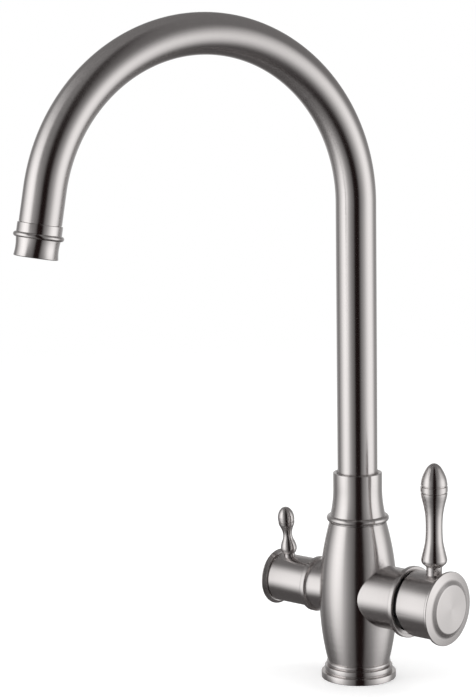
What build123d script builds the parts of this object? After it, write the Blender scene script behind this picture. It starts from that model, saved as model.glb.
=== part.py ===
from build123d import *
import os
from math import radians, tan

os.makedirs("parts", exist_ok=True)

# A deck-mounted kitchen tap with a swivelling hooped spout, a mixer lever on its right and a smaller
# lever for filtered water on its left. Millimetres. The origin is the centre of the foot on the deck,
# +Z is up, +X runs along the valve axis to the mixer lever and -Y is the front.

# Fits
running_clearance = 0.05
seated_clearance = 0.05
swing_gap = 0.3
cut_overrun = 1.0
edge_round = 0.4

# Foot of the tap
foot_ring_radius = 23.6
foot_ring_step_height = 4.1
foot_ring_upper_radius = 21.4
foot_ring_height = 7.5
foot_ring_fall = 0.5
foot_spigot_radius = 17.7
foot_recess = 0.5
gasket_edge = 1.2
gasket_width = 2.4
gasket_thickness = 1.6
gasket_outer_radius = foot_ring_radius - gasket_edge
gasket_inner_radius = gasket_outer_radius - gasket_width

# Inlet sockets (M10 x 1) and the fixing stud's hole (M8) in the underside
inlet_socket_radius = 4.5
inlet_socket_depth = 12.0
inlet_drilling_radius = 3.4
mixer_inlet_x = 4.5
mixer_inlet_y = 10.5
filter_inlet_x = -9.5
filter_drilling_radius = 2.5
stud_socket_radius = 3.4
stud_socket_depth = 15.0
stud_socket_x = 12.5

# Barrel
barrel_foot_radius = 18.6
barrel_radius = 24.5
barrel_neck_radius = 17.9
valve_height = 55.0
widest_below_valve_height = 3.5
neck_above_valve_height = 45.2

# Spout seat in the barrel's neck, and the collar screwed over it
neck_spigot_radius = 15.4
neck_spigot_height = 5.3
spout_bore_radius = 13.65
spout_bore_above_valve_height = 20.5
collar_seam = 0.4
collar_bead_radius = 19.6
collar_bead_height = 4.0
collar_skirt_radius = 17.3
collar_radius = 15.35
collar_curve_height = 21.3
collar_height = 31.5
collar_mouth_gap = 0.4
collar_mouth_bevel = 0.8
glide_washer_thickness = 0.9
glide_ring_thickness = 1.4
glide_ring_height = 5.0
glide_ring_drop = 9.0

# Spout: a tube bent to a hoop of nearly a half turn
tube_radius = 12.5
tube_wall = 1.0
arch_radius = 105.25
arch_height = 300.8
arch_bend = 170.0
spout_direction = 250.4
tube_run_out = 19.3
foot_bore_radius = 9.0
foot_sole_gap = 2.5
foot_plug_length = 14.0
o_ring_wire_radius = 0.8
o_ring_spacing = 8.0
o_ring_drop = 10.0

# Outlet
nozzle_plug_length = 8.0
nozzle_sleeve_radius = 12.95
nozzle_sleeve_length = 4.85
nozzle_bead_radius = 15.0
nozzle_bead_length = 3.2
nozzle_waist_radius = 12.5
nozzle_mouth_radius = 13.0
nozzle_skirt_length = 11.35
nozzle_bore_radius = 9.8
aerator_radius = 11.3
aerator_wall = 1.6
aerator_recess = 0.8
aerator_seal_thickness = 1.2
aerator_spoke_width = 1.6
aerator_spoke_depth = 3.0
aerator_spokes = 4
screen_thickness = 1.2
screen_slots = 24
screen_slot_width = 0.9
screen_slot_length = 2.2

# Separate way for filtered water, up the middle of the spout, with depths below the spout's bore
filter_tube_radius = 4.0
filter_tube_wall = 1.0
filter_tube_foot_depth = 3.9
filter_seat_depth = 4.7
filter_well_depth = 9.5
filter_tube_seal_depth = 1.7
filter_nozzle_radius = 5.2
filter_nozzle_length = 12.5
filter_nozzle_grip = 4.5
filter_cross_drilling_radius = 2.0
filter_cross_drilling_depth = 7.5

# Mixer side: arm, hub, cap
mixer_arm_radius = 19.5
mixer_ring_radius = 22.3
mixer_ring_start = 40.25
mixer_ring_end = 43.35
arm_fillet = 0.9
ring_recess_radius = 20.2
ring_recess_depth = 1.4
mixer_gap = 1.7
mixer_hub_radius = 20.45
mixer_hub_wall = 2.05
mixer_hub_end = 67.4
mixer_hub_end_wall = 3.8
mixer_boss_radius = 8.5
mixer_boss_start = 48.0
mixer_flow_angle = 14.0
mixer_cap_radius = 23.0
mixer_cap_start = 68.1
mixer_cap_rim = 2.0
mixer_cap_spigot_radius = 12.0
cap_spigot_length = 2.7
cap_groove_depth = 0.85
mixer_cap_cone_depth = 0.6

# Shape of both caps, as shares of the cap's radius
cap_disc_share = 0.68
cap_cove_corner_share = 0.77
cap_cove_round_share = 0.12
cap_dish_share = 0.033
cap_raise_share = 0.125

# Mixer cartridge, 35 mm
cartridge_back = 9.0
cartridge_radius = 17.4
cartridge_bore_radius = 17.5
cartridge_seal_thickness = 0.8
cartridge_base_thickness = 4.2
port_radius = 3.0
port_seal_radius = 4.4
inlet_port_y = 8.5
inlet_port_z = -5.0
outlet_port_z = 8.5
disc_thickness = 3.6
fixed_disc_radius = 13.5
disc_film = 0.02
moving_disc_radius = 10.8
moving_disc_thickness = 3.0
mixing_pocket_radius = 6.5
mixing_pocket_depth = 1.8
carrier_thickness = 3.2
carrier_rail_width = 11.2
carrier_rail_height = 1.2
carrier_rail_length = 16.0
cartridge_cavity_radius = 14.0
cartridge_shoulder = 30.0
cartridge_nose_radius = 12.0
cartridge_nose_end = 38.0
cartridge_nut_radius = 18.2
cartridge_nut_length = 6.5
nut_slot_width = 3.0
nut_slot_depth = 2.0
nut_slots = 4
rotor_flange_radius = 13.2
rotor_flange_thickness = 3.6
rotor_neck_radius = 9.5
rotor_end = 39.5
rotor_slot_height = 14.0

# Cartridge stem, which tilts about a cross pin
pin_position = 32.0
pin_radius = 1.5
pin_length = 18.0
stem_width = 8.0
stem_tail = 26.0
stem_end = 56.5
stem_ball_radius = 2.4
stem_ball_reach = 8.6
stem_neck_radius = 1.8

# Mixer lever, with its reach measured from the valve axis
mixer_lever_position = 59.6
mixer_lever_reach = 89.6
mixer_lever_radius = 8.35
mixer_lever_neck_radius = 4.85
lever_seat_depth = 1.2
mixer_post_radius = 5.0
mixer_stud_radius = 2.5
mixer_stud_in_handle = 10.0
mixer_stud_in_hub = 15.0
mixer_screw_position = 52.0
mixer_screw_radius = 2.5
screw_socket_share = 0.5

# Filter side: arm, hub, cap, with distances measured from the tap's centre
filter_arm_radius = 15.6
filter_ring_radius = 17.55
filter_ring_start = 30.6
filter_ring_end = 33.9
filter_gap = 0.4
filter_hub_radius = 15.4
filter_hub_wall = 2.4
filter_hub_end = 62.3
filter_hub_end_wall = 3.5
filter_boss_radius = 6.8
filter_boss_start = 40.5
filter_cap_radius = 17.84
filter_cap_start = 63.0
filter_cap_rim = 2.5
filter_cap_spigot_radius = 9.0
filter_cap_cone_depth = 1.8

# Quarter-turn headwork for filtered water
headwork_back = 13.0
headwork_radius = 9.0
headwork_seal_thickness = 1.2
headwork_seal_inner_radius = 5.0
headwork_hex_start = 25.0
headwork_hex_end = 30.0
headwork_hex_width = 21.0
headwork_bay_radius = 12.6
headwork_neck_radius = 6.6
headwork_neck_end = 37.0
headwork_cavity_radius = 7.3
headwork_window_radius = 1.6
headwork_window_position = 17.8
filter_disc_radius = 7.0
filter_disc_thickness = 2.4
filter_port_radius = 2.2
filter_port_offset = 3.6
spindle_radius = 4.0
spindle_flange_radius = 6.8
spindle_flange_thickness = 1.2
spindle_spline_start = 38.0
spindle_end = 51.5
spindle_spline_squares = 5
spindle_ring_position = 33.0
spindle_ring_wire_radius = 0.6

# Filter lever, which leans to the front when shut
filter_lever_position = 55.0
filter_lever_reach = 48.2
filter_lever_lean = 7.0
filter_lever_radius = 5.3
filter_lever_neck_radius = 3.6
filter_post_radius = 4.2
filter_stud_radius = 2.0
filter_stud_in_handle = 7.0
filter_stud_in_hub = 10.0
filter_screw_position = 45.7
filter_screw_radius = 2.0

# Outlines of the two handles: share of the length from the tip, share of the radius
mixer_nose_shares = (
    (0.007, 0.22), (0.031, 0.47), (0.063, 0.645), (0.099, 0.795), (0.135, 0.905), (0.176, 0.97),
)
mixer_groove_shares = ((0.184, 0.87), (0.194, 0.87))
mixer_band_shares = ((0.198, 1.0), (0.248, 1.0))
mixer_lower_groove_shares = ((0.252, 0.90), (0.260, 0.90))
mixer_waist_shares = (
    (0.264, 0.975), (0.276, 0.97), (0.320, 0.835), (0.393, 0.722), (0.467, 0.634), (0.578, 0.617),
    (0.689, 0.661), (0.761, 0.779), (0.835, 0.934), (0.860, 0.96), (0.884, 0.894), (0.906, 0.704),
)
mixer_neck_share = 0.918
filter_nose_shares = ((0.012, 0.40), (0.075, 0.77), (0.156, 0.97), (0.222, 1.0), (0.280, 0.99))
filter_groove_shares = ((0.288, 0.93), (0.294, 0.93))
filter_waist_shares = (
    (0.302, 0.98), (0.335, 0.93), (0.380, 0.80), (0.458, 0.62), (0.536, 0.55), (0.614, 0.62),
    (0.700, 0.84), (0.800, 0.98), (0.877, 0.86),
)
filter_neck_share = 0.910

from_below = (Align.CENTER, Align.CENTER, Align.MIN)
barrel_widest_height = valve_height - widest_below_valve_height
barrel_top = valve_height + neck_above_valve_height
neck_spigot_top = barrel_top + neck_spigot_height
spout_bore_floor = valve_height + spout_bore_above_valve_height
collar_curve_top = barrel_top + collar_curve_height
collar_top = barrel_top + collar_height
foot_sole = spout_bore_floor + foot_sole_gap
filter_tube_foot = spout_bore_floor - filter_tube_foot_depth
filter_tube_seal = spout_bore_floor - filter_tube_seal_depth
filter_cross_height = spout_bore_floor - filter_cross_drilling_depth
tube_bore_radius = tube_radius - tube_wall
foot_radius = spout_bore_radius - running_clearance
foot_shoulder = neck_spigot_top - running_clearance
collar_bore_radius = tube_radius + collar_mouth_gap
collar_ledge = neck_spigot_top + glide_washer_thickness
collar_counterbore_radius = neck_spigot_radius + seated_clearance
mixer_hub_start = mixer_ring_end + mixer_gap
filter_hub_start = filter_ring_end + filter_gap
plug_radius = tube_bore_radius - seated_clearance
cartridge_base_start = cartridge_back + cartridge_seal_thickness
fixed_disc_start = cartridge_base_start + cartridge_base_thickness
moving_disc_start = fixed_disc_start + disc_thickness + disc_film
carrier_start = moving_disc_start + moving_disc_thickness
rotor_start = carrier_start + carrier_thickness + swing_gap
lever_seat_height = valve_height + mixer_hub_radius - lever_seat_depth
filter_lever_seat_height = valve_height + filter_hub_radius - lever_seat_depth
headwork_start = headwork_back + headwork_seal_thickness
filter_moving_disc_start = headwork_start + filter_disc_thickness + disc_film
spindle_start = filter_moving_disc_start + filter_disc_thickness


def outline(*corners):
    # Closed face through corners (x, y), or (x, y, r) where the corner is rounded to radius r
    count = len(corners)
    arrive, leave, edges = [], [], []
    for i, corner in enumerate(corners):
        here = Vector(corner[0], corner[1])
        before = (here - Vector(corners[i - 1][0], corners[i - 1][1])).normalized()
        following = corners[(i + 1) % count]
        after = (Vector(following[0], following[1]) - here).normalized()
        radius = corner[2] if len(corner) > 2 else 0
        reach = radius * tan(radians(before.get_angle(after)) / 2)
        arrive.append(here - before * reach)
        leave.append(here + after * reach)
        if radius:
            edges.append(TangentArc(arrive[i], leave[i], tangent=before))
    for i in range(count):
        edges.append(Line(leave[i - 1], arrive[i]))
    return make_face(edges)


def turned_upright(face):
    # Turned about the tap's vertical axis, from an outline of radius and height
    return revolve(Plane.XZ * face, Axis.Z)


def turned_along(face):
    # Turned about the valve axis, from an outline of distance and radius
    return Pos(0, 0, valve_height) * revolve(Plane.XZ * face, Axis.X)


def upright_rod(radius, bottom, top, x=0, y=0):
    return Pos(x, y, bottom) * Cylinder(radius, top - bottom, align=from_below)


def level_rod(radius, start, end, y=0, z=0):
    # Rod beside the valve axis, with y and z measured from that axis
    place = Pos(start, y, valve_height + z) * Rot(0, 90, 0)
    return place * Cylinder(radius, end - start, align=from_below)


def cross_rod(radius, x, start, end):
    # Rod square to the valve axis, from one depth to another
    place = Pos(x, start, valve_height) * Rot(-90, 0, 0)
    return place * Cylinder(radius, end - start, align=from_below)


def leaning(piece):
    # Turned about the valve axis by the filter lever's lean
    about = Pos(0, 0, valve_height)
    return about * Rot(filter_lever_lean, 0, 0) * about.inverse() * piece


def drilling(start, end, radius):
    way = Vector(*end) - Vector(*start)
    return Plane(origin=start, z_dir=way) * Cylinder(radius, way.length, align=from_below)


def on_filter_side(piece):
    return Rot(0, 0, 180) * piece


# Body

def barrel():
    foot = (barrel_foot_radius, foot_ring_height)
    widest = (barrel_radius, barrel_widest_height)
    neck = (barrel_neck_radius, barrel_top)
    return turned_upright(make_face([
        Line((0, foot_ring_height), foot),
        TangentArc(widest, foot, tangent=(0, -1)),
        TangentArc(widest, neck, tangent=(0, 1)),
        Line(neck, (0, barrel_top)),
        Line((0, barrel_top), (0, foot_ring_height)),
    ]))


def arm(radius, ring_radius, ring_start, ring_end):
    return turned_along(outline(
        (0, 0), (0, radius), (ring_start, radius, arm_fillet), (ring_start, ring_radius, edge_round),
        (ring_end, ring_radius, edge_round), (ring_end, 0),
    ))


def mixer_chamber():
    nut_bay_radius = cartridge_nut_radius + seated_clearance
    bore = level_rod(cartridge_bore_radius, cartridge_back, mixer_ring_end + cut_overrun)
    nut_bay = level_rod(nut_bay_radius, cartridge_shoulder, mixer_ring_end + cut_overrun)
    recess = level_rod(ring_recess_radius, mixer_ring_end - ring_recess_depth, mixer_ring_end + cut_overrun)
    return bore + nut_bay + recess


def filter_chamber():
    bore = level_rod(headwork_radius + seated_clearance, headwork_back, filter_ring_end)
    bay = level_rod(headwork_bay_radius, headwork_hex_start, filter_ring_end + cut_overrun)
    return on_filter_side(bore + bay)


def inlet(x, y, radius, top):
    socket_top = foot_recess + inlet_socket_depth
    socket = upright_rod(inlet_socket_radius, foot_recess - cut_overrun, socket_top, x, y)
    return socket + upright_rod(radius, foot_recess, top, x, y)


def waterways():
    inlet_height = valve_height + inlet_port_z
    ways = []
    for side in (-1, 1):
        top = inlet_height + inlet_drilling_radius
        ways.append(inlet(mixer_inlet_x, side * mixer_inlet_y, inlet_drilling_radius, top))
        ways.append(level_rod(
            port_radius, mixer_inlet_x, cartridge_back + cut_overrun, side * inlet_port_y, inlet_port_z
        ))
    outlet_start = (cartridge_back + cut_overrun, 0, valve_height + outlet_port_z)
    outlet_end = (mixer_inlet_x, mixer_inlet_y - inlet_drilling_radius / 2, spout_bore_floor + cut_overrun)
    ways.append(drilling(outlet_start, outlet_end, port_radius))
    return ways


def filter_ways():
    side_drilling_x = -headwork_window_position
    return [
        inlet(filter_inlet_x, 0, filter_drilling_radius, valve_height + filter_drilling_radius),
        on_filter_side(level_rod(filter_cross_drilling_radius, -filter_inlet_x, headwork_back + cut_overrun)),
        upright_rod(
            filter_drilling_radius, valve_height, filter_cross_height + filter_drilling_radius,
            side_drilling_x,
        ),
        drilling(
            (side_drilling_x, 0, filter_cross_height), (0, 0, filter_cross_height),
            filter_cross_drilling_radius,
        ),
        upright_rod(
            filter_tube_radius - filter_tube_wall, spout_bore_floor - filter_well_depth, spout_bore_floor
        ),
        upright_rod(
            filter_tube_radius + running_clearance, spout_bore_floor - filter_seat_depth,
            spout_bore_floor + cut_overrun,
        ),
        filter_tube_o_ring_groove(),
    ]


def filter_tube_o_ring_groove():
    reach = filter_tube_radius + running_clearance + 2 * o_ring_wire_radius
    half = o_ring_wire_radius + seated_clearance
    return upright_rod(reach + seated_clearance, filter_tube_seal - half, filter_tube_seal + half)


def body_casting():
    spigot = upright_rod(foot_spigot_radius, foot_recess, foot_ring_height + cut_overrun)
    neck = upright_rod(neck_spigot_radius, barrel_top - cut_overrun, neck_spigot_top)
    mixer_arm = arm(mixer_arm_radius, mixer_ring_radius, mixer_ring_start, mixer_ring_end)
    filter_arm = arm(filter_arm_radius, filter_ring_radius, filter_ring_start, filter_ring_end)
    solid = barrel() + spigot + neck + mixer_arm + on_filter_side(filter_arm)
    spout_bore = upright_rod(spout_bore_radius, spout_bore_floor, neck_spigot_top + cut_overrun)
    stud_top = foot_recess + stud_socket_depth
    stud_hole = upright_rod(stud_socket_radius, foot_recess - cut_overrun, stud_top, stud_socket_x)
    cuts = [mixer_chamber(), filter_chamber(), spout_bore, stud_hole]
    return solid - (cuts + waterways() + filter_ways())


def base_ring():
    bore_radius = foot_spigot_radius + seated_clearance
    ring = turned_upright(outline(
        (bore_radius, 0), (foot_ring_radius, 0, edge_round),
        (foot_ring_radius, foot_ring_step_height, edge_round),
        (foot_ring_upper_radius, foot_ring_step_height),
        (foot_ring_upper_radius, foot_ring_height - foot_ring_fall, edge_round),
        (barrel_foot_radius, foot_ring_height), (bore_radius, foot_ring_height),
    ))
    groove_bottom = gasket_outer_radius + seated_clearance
    groove = upright_rod(groove_bottom, -cut_overrun, gasket_thickness)
    groove -= upright_rod(gasket_inner_radius - seated_clearance, -cut_overrun, gasket_thickness)
    return ring - groove


def base_gasket():
    return turned_upright(outline(
        (gasket_inner_radius, 0), (gasket_outer_radius, 0),
        (gasket_outer_radius, gasket_thickness), (gasket_inner_radius, gasket_thickness),
    ))


# Collar, which keeps the spout down, and the plastic rings that the spout turns on

def spout_collar():
    seam_radius = barrel_neck_radius - collar_seam
    bottom = barrel_top + collar_seam / 2
    bead_top = bottom + collar_seam + collar_bead_height
    bead_start = (seam_radius, bottom + collar_seam)
    bead_end = (collar_skirt_radius, bead_top)
    bead_middle = (collar_bead_radius, (bead_start[1] + bead_end[1]) / 2)
    curve_end = (collar_radius, collar_curve_top)
    rim = (collar_radius, collar_top - edge_round)
    rim_top = (collar_radius - edge_round, collar_top)
    mouth = (collar_bore_radius + collar_mouth_bevel, collar_top)
    mouth_bottom = (collar_bore_radius, collar_top - collar_mouth_bevel)
    shell = turned_upright(make_face([
        Line((collar_counterbore_radius, bottom), (seam_radius, bottom)),
        Line((seam_radius, bottom), bead_start),
        ThreePointArc(bead_start, bead_middle, bead_end),
        TangentArc(curve_end, bead_end, tangent=(0, -1)),
        Line(curve_end, rim),
        TangentArc(rim, rim_top, tangent=(0, 1)),
        Line(rim_top, mouth),
        Line(mouth, mouth_bottom),
        Line(mouth_bottom, (collar_bore_radius, collar_ledge)),
        Line((collar_bore_radius, collar_ledge), (collar_counterbore_radius, collar_ledge)),
        Line((collar_counterbore_radius, collar_ledge), (collar_counterbore_radius, bottom)),
    ]))
    recess_radius = tube_radius + running_clearance + glide_ring_thickness + seated_clearance
    recess_bottom = collar_top - glide_ring_drop
    return shell - upright_rod(recess_radius, recess_bottom, recess_bottom + glide_ring_height)


def spout_glide_ring():
    inner = tube_radius + running_clearance
    outer = inner + glide_ring_thickness
    bottom = collar_top - glide_ring_drop
    return turned_upright(outline(
        (inner, bottom), (outer, bottom), (outer, bottom + glide_ring_height),
        (inner, bottom + glide_ring_height),
    ))


def spout_glide_washer():
    outer = neck_spigot_radius
    return turned_upright(outline(
        (collar_bore_radius, neck_spigot_top), (outer, neck_spigot_top), (outer, collar_ledge),
        (collar_bore_radius, collar_ledge),
    ))


def filter_tube_o_ring():
    reach = filter_tube_radius + running_clearance + o_ring_wire_radius
    return Pos(0, 0, filter_tube_seal) * Torus(reach, o_ring_wire_radius)


# Spout

hoop = CenterArc((arch_radius, arch_height), arch_radius, 180, -arch_bend)
hoop_end = hoop @ 1
outflow = hoop % 1


def spout_way(start, run_out):
    # The tube's centre line, from a height in the body to a distance past the hoop
    line = Wire([Line((0, start), (0, arch_height)), hoop, Line(hoop_end, hoop_end + outflow * run_out)])
    return Plane.XZ * line


def along_spout(radius, bore, start, run_out):
    section = Pos(0, 0, start) * (Circle(radius) - Circle(bore))
    return Rot(0, 0, spout_direction) * sweep(section, path=spout_way(start, run_out))


def at_outlet(piece):
    # A piece drawn with its height measured along the outflow from the hoop's end
    outlet = Plane(origin=(hoop_end.X, 0, hoop_end.Y), z_dir=(outflow.X, 0, outflow.Y))
    return Rot(0, 0, spout_direction) * (outlet * piece)


def spout_tube():
    return along_spout(tube_radius, tube_bore_radius, foot_shoulder, tube_run_out)


def o_ring_heights():
    first = neck_spigot_top - o_ring_drop
    return [first, first - o_ring_spacing]


def spout_foot():
    solid = turned_upright(outline(
        (foot_bore_radius, foot_sole), (foot_radius, foot_sole, edge_round),
        (foot_radius, foot_shoulder), (plug_radius, foot_shoulder),
        (plug_radius, foot_shoulder + foot_plug_length), (foot_bore_radius, foot_shoulder + foot_plug_length),
    ))
    for height in o_ring_heights():
        bottom = height - o_ring_wire_radius
        top = height + o_ring_wire_radius
        groove = upright_rod(foot_radius + cut_overrun, bottom, top)
        groove -= upright_rod(foot_radius - 2 * o_ring_wire_radius, bottom - cut_overrun, top + cut_overrun)
        solid -= groove
    return Rot(0, 0, spout_direction) * solid


def spout_o_rings():
    reach = foot_radius - o_ring_wire_radius
    return Compound([Pos(0, 0, height) * Torus(reach, o_ring_wire_radius) for height in o_ring_heights()])


def outlet_nozzle():
    sleeve_end = tube_run_out + nozzle_sleeve_length
    bead_end = sleeve_end + nozzle_bead_length
    mouth = bead_end + nozzle_skirt_length
    plug_end = tube_run_out - nozzle_plug_length
    bay_radius = aerator_radius + seated_clearance
    rim = nozzle_mouth_radius - bay_radius
    lip = (nozzle_mouth_radius - rim / 2, mouth + rim / 4)
    bead_middle = (nozzle_bead_radius, (sleeve_end + bead_end) / 2)
    waist = (nozzle_waist_radius, (bead_end + mouth) / 2)
    face = make_face([
        Line((nozzle_bore_radius, plug_end), (plug_radius, plug_end)),
        Line((plug_radius, plug_end), (plug_radius, tube_run_out)),
        Line((plug_radius, tube_run_out), (nozzle_sleeve_radius, tube_run_out)),
        Line((nozzle_sleeve_radius, tube_run_out), (nozzle_sleeve_radius, sleeve_end)),
        ThreePointArc((nozzle_sleeve_radius, sleeve_end), bead_middle, (nozzle_sleeve_radius, bead_end)),
        ThreePointArc((nozzle_sleeve_radius, bead_end), waist, (nozzle_mouth_radius, mouth)),
        ThreePointArc((nozzle_mouth_radius, mouth), lip, (bay_radius, mouth)),
        Line((bay_radius, mouth), (bay_radius, bead_end)),
        Line((bay_radius, bead_end), (nozzle_bore_radius, bead_end)),
        Line((nozzle_bore_radius, bead_end), (nozzle_bore_radius, plug_end)),
    ])
    return at_outlet(turned_upright(face))


aerator_shelf = tube_run_out + nozzle_sleeve_length + nozzle_bead_length
aerator_start = aerator_shelf + aerator_seal_thickness
aerator_end = aerator_shelf + nozzle_skirt_length - aerator_recess
aerator_bore_radius = aerator_radius - aerator_wall
filter_ring_bore_radius = filter_nozzle_radius + seated_clearance
filter_hub_ring_radius = filter_ring_bore_radius + filter_tube_wall


def aerator_seal():
    return at_outlet(turned_upright(outline(
        (nozzle_bore_radius, aerator_shelf), (aerator_radius, aerator_shelf),
        (aerator_radius, aerator_start), (nozzle_bore_radius, aerator_start),
    )))


def aerator_housing():
    shell = upright_rod(aerator_radius, aerator_start, aerator_end)
    shell -= upright_rod(aerator_bore_radius, aerator_start - cut_overrun, aerator_end + cut_overrun)
    middle = upright_rod(filter_hub_ring_radius, aerator_start, aerator_end)
    spokes_end = aerator_start + aerator_spoke_depth
    spokes = upright_rod(aerator_bore_radius + seated_clearance, aerator_start, spokes_end)
    for i in range(aerator_spokes):
        middle += spokes & (Rot(0, 0, i * 360 / aerator_spokes) * spoke_blank())
    bore = upright_rod(filter_ring_bore_radius, aerator_start - cut_overrun, aerator_end + cut_overrun)
    return at_outlet(shell + middle - bore)


def spoke_blank():
    blank = Box(aerator_radius, aerator_spoke_width, aerator_end, align=(Align.MIN, Align.CENTER, Align.MIN))
    return Pos(0, 0, aerator_start) * blank


def aerator_screen():
    top = aerator_end - screen_thickness
    outer = aerator_bore_radius - seated_clearance
    inner = filter_hub_ring_radius + seated_clearance
    disc = upright_rod(outer, top, aerator_end)
    disc -= upright_rod(inner, top - cut_overrun, aerator_end + cut_overrun)
    middle = (outer + inner) / 2
    slot_depth = 2 * screen_thickness + cut_overrun
    slot = Pos(middle, 0, aerator_end) * Box(screen_slot_length, screen_slot_width, slot_depth)
    slots = [Rot(0, 0, i * 360 / screen_slots) * slot for i in range(screen_slots)]
    return at_outlet(disc - slots)


def filter_water_nozzle():
    start = aerator_end - filter_nozzle_length
    bore_radius = filter_tube_radius - filter_tube_wall
    solid = turned_upright(outline(
        (filter_tube_radius + seated_clearance, start), (filter_nozzle_radius, start, edge_round),
        (filter_nozzle_radius, aerator_end, edge_round), (bore_radius, aerator_end),
        (bore_radius, start + filter_nozzle_grip),
        (filter_tube_radius + seated_clearance, start + filter_nozzle_grip),
    ))
    return at_outlet(solid)


def filter_water_tube():
    end = aerator_end - filter_nozzle_length + filter_nozzle_grip
    return along_spout(filter_tube_radius, filter_tube_radius - filter_tube_wall, filter_tube_foot, end)


# Mixer cartridge

def ports(start, end, radius):
    places = [(-inlet_port_y, inlet_port_z), (inlet_port_y, inlet_port_z), (0, outlet_port_z)]
    return [level_rod(radius, start, end, y, z) for y, z in places]


def cartridge_seals():
    rings = ports(cartridge_back, cartridge_base_start, port_seal_radius)
    holes = ports(cartridge_back - cut_overrun, cartridge_base_start + cut_overrun, port_radius)
    return Compound([ring - hole for ring, hole in zip(rings, holes)])


def cartridge_base():
    solid = level_rod(cartridge_radius, cartridge_base_start, fixed_disc_start)
    return solid - ports(cartridge_back, fixed_disc_start + cut_overrun, port_radius)


def fixed_ceramic_disc():
    solid = level_rod(fixed_disc_radius, fixed_disc_start, fixed_disc_start + disc_thickness)
    return solid - ports(cartridge_back, moving_disc_start + cut_overrun, port_radius)


def cartridge_housing():
    cavity_end = rotor_start + rotor_flange_thickness + running_clearance
    bore_radius = rotor_neck_radius + running_clearance
    return turned_along(outline(
        (fixed_disc_start, cartridge_cavity_radius), (fixed_disc_start, cartridge_radius, edge_round),
        (cartridge_shoulder, cartridge_radius, edge_round), (cartridge_shoulder, cartridge_nose_radius),
        (cartridge_nose_end, cartridge_nose_radius, edge_round), (cartridge_nose_end, bore_radius),
        (cavity_end, bore_radius), (cavity_end, cartridge_cavity_radius),
    ))


def cartridge_nut():
    end = cartridge_shoulder + cartridge_nut_length
    bore_radius = cartridge_nose_radius + seated_clearance
    nut = turned_along(outline(
        (cartridge_shoulder, bore_radius), (cartridge_shoulder, cartridge_nut_radius, edge_round),
        (end, cartridge_nut_radius, edge_round), (end, bore_radius, edge_round),
    ))
    slot = Box(2 * nut_slot_depth, 3 * cartridge_nut_radius, nut_slot_width)
    for i in range(nut_slots // 2):
        nut -= Pos(end, 0, valve_height) * Rot(i * 360 / nut_slots, 0, 0) * slot
    return nut


def moving_ceramic_disc():
    solid = level_rod(moving_disc_radius, moving_disc_start, carrier_start)
    pocket_end = moving_disc_start + mixing_pocket_depth
    pocket = level_rod(mixing_pocket_radius, moving_disc_start - cut_overrun, pocket_end)
    return solid - pocket


def disc_carrier():
    top = carrier_start + carrier_thickness
    solid = level_rod(moving_disc_radius, carrier_start, top)
    rail = Box(
        carrier_rail_height, carrier_rail_width, carrier_rail_length,
        align=(Align.MIN, Align.CENTER, Align.CENTER),
    )
    solid += Pos(top, 0, valve_height) * rail
    socket_radius = stem_ball_radius + swing_gap
    return solid - level_rod(socket_radius, carrier_start, top + carrier_rail_height + cut_overrun)


def cartridge_rotor():
    flange_end = rotor_start + rotor_flange_thickness
    solid = turned_along(outline(
        (rotor_start, 0), (rotor_start, rotor_flange_radius), (flange_end, rotor_flange_radius),
        (flange_end, rotor_neck_radius), (rotor_end, rotor_neck_radius, edge_round), (rotor_end, 0),
    ))
    slot_width = stem_width + 2 * swing_gap
    slot = Box(2 * rotor_end, slot_width, rotor_slot_height)
    groove_depth = carrier_rail_height + swing_gap
    groove = Box(2 * groove_depth, carrier_rail_width + 2 * swing_gap, 3 * rotor_flange_radius)
    rail_level = rotor_start - swing_gap / 2
    solid -= Pos(rotor_end, 0, valve_height) * slot
    solid -= Pos(rail_level, 0, valve_height) * groove
    pin_way = cross_rod(pin_radius + seated_clearance, pin_position, -rotor_neck_radius, rotor_neck_radius)
    return solid - pin_way


def stem_pin():
    return cross_rod(pin_radius, pin_position, -pin_length / 2, pin_length / 2)


def cartridge_stem():
    bar = Box(stem_end - stem_tail, stem_width, stem_width, align=(Align.MIN, Align.CENTER, Align.CENTER))
    bar = chamfer(bar.edges().filter_by(Axis.X), edge_round)
    ball_position = pin_position - stem_ball_reach
    solid = Pos(stem_tail, 0, valve_height) * bar
    solid += level_rod(stem_neck_radius, ball_position, stem_tail + cut_overrun)
    solid += Pos(ball_position, 0, valve_height) * Sphere(stem_ball_radius)
    return solid - cross_rod(pin_radius + running_clearance, pin_position, -stem_width, stem_width)


# Lever hubs, caps and handles

def hub_shell(start, end, radius, wall, end_wall, boss_start, boss_radius):
    # A cup open towards the tap, with a boss in the middle for the valve's stem
    floor = end - end_wall
    bore_radius = radius - wall
    return turned_along(outline(
        (start, bore_radius, edge_round), (start, radius, edge_round), (end, radius, edge_round), (end, 0),
        (boss_start, 0), (boss_start, boss_radius, edge_round), (floor, boss_radius), (floor, bore_radius),
    ))


def relief_wedge():
    # The skirt is cut back below the valve axis, so that it clears the ring as the lever tips out
    size = 2 * mixer_hub_radius
    block = Box(size, 2 * size, size, align=(Align.MAX, Align.CENTER, Align.MAX))
    return Pos(mixer_hub_start, 0, valve_height) * Rot(0, -mixer_flow_angle, 0) * block


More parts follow.
